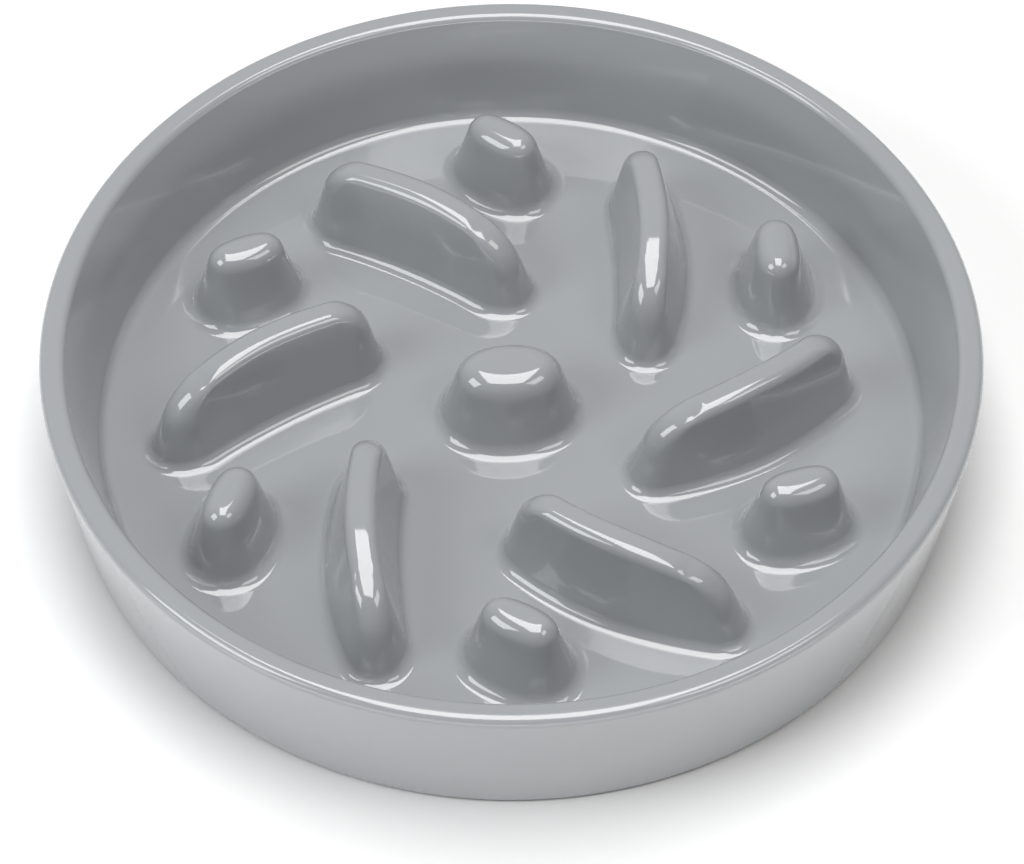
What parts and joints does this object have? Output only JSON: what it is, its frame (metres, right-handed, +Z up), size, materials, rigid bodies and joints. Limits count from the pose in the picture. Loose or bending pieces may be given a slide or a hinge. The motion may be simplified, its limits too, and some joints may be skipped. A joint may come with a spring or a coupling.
{
  "type": "slow feeder bowl",
  "caption": "Low round pet bowl with a pinwheel of curved ridges and leaning oval pegs moulded into its floor, on soft rubber feet.",
  "frame": {"origin": "on the table, under the middle of the bowl", "axes": "+Z up along the bowl's axis, +Y away from the viewer of the picture, +X to the right"},
  "size_m": [0.2, 0.2, 0.0345],
  "materials": {
    "moulding": "polished grey",
    "foot": "matt dark grey"
  },
  "bodies": {
    "root": {"bowl": "moulding", "foot_1": "foot", "foot_2": "foot", "foot_3": "foot", "foot_4": "foot", "foot_5": "foot", "foot_6": "foot"}
  },
  "joints": []
}
